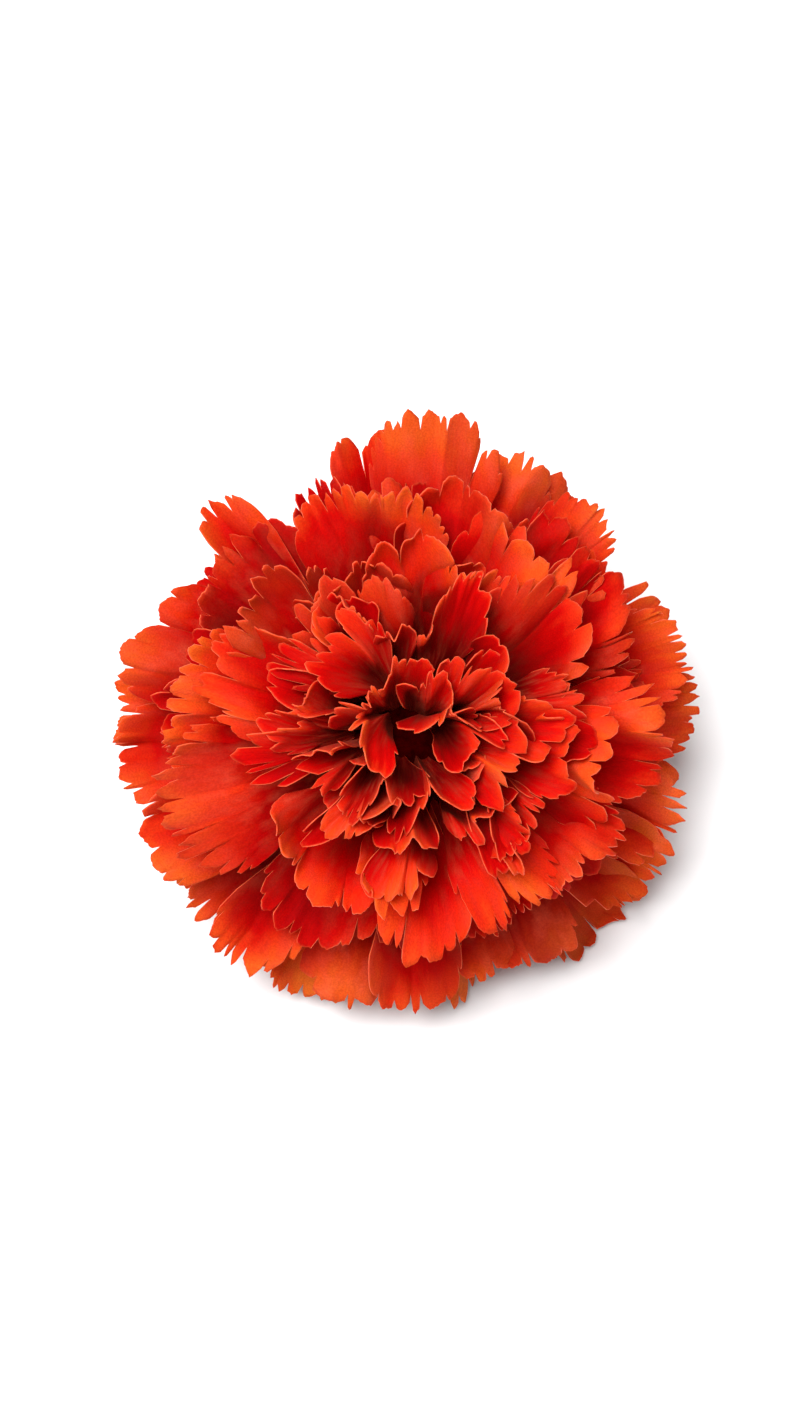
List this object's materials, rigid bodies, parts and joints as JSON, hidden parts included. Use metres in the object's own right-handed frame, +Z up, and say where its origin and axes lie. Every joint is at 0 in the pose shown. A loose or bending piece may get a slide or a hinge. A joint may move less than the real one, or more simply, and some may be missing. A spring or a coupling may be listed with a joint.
{
  "type": "carnation bloom",
  "caption": "A red-orange double carnation, picked with a short stub of stem and lying face up on its lowest petals and the cut end.",
  "frame": {"origin": "on the surface the bloom lies on, under the middle of the bounding box", "axes": "Z up; the bloom's face leans 32 degrees from Z toward -Y and slightly toward +X, so -Y is its front; the stem's cut end rests at the back"},
  "size_m": [0.0769, 0.0702, 0.0608],
  "materials": {
    "petals": "soft, velvety red-orange, deeper toward the roots",
    "calyx": "smooth grey-green with a waxy bloom",
    "epicalyx": "smooth green bracts with pale tips",
    "stem": "smooth green, waxy, pale and moist at the cut"
  },
  "bodies": {
    "root": {"petals": "petals", "calyx": "calyx", "epicalyx": "epicalyx", "stem": "stem"}
  },
  "joints": []
}
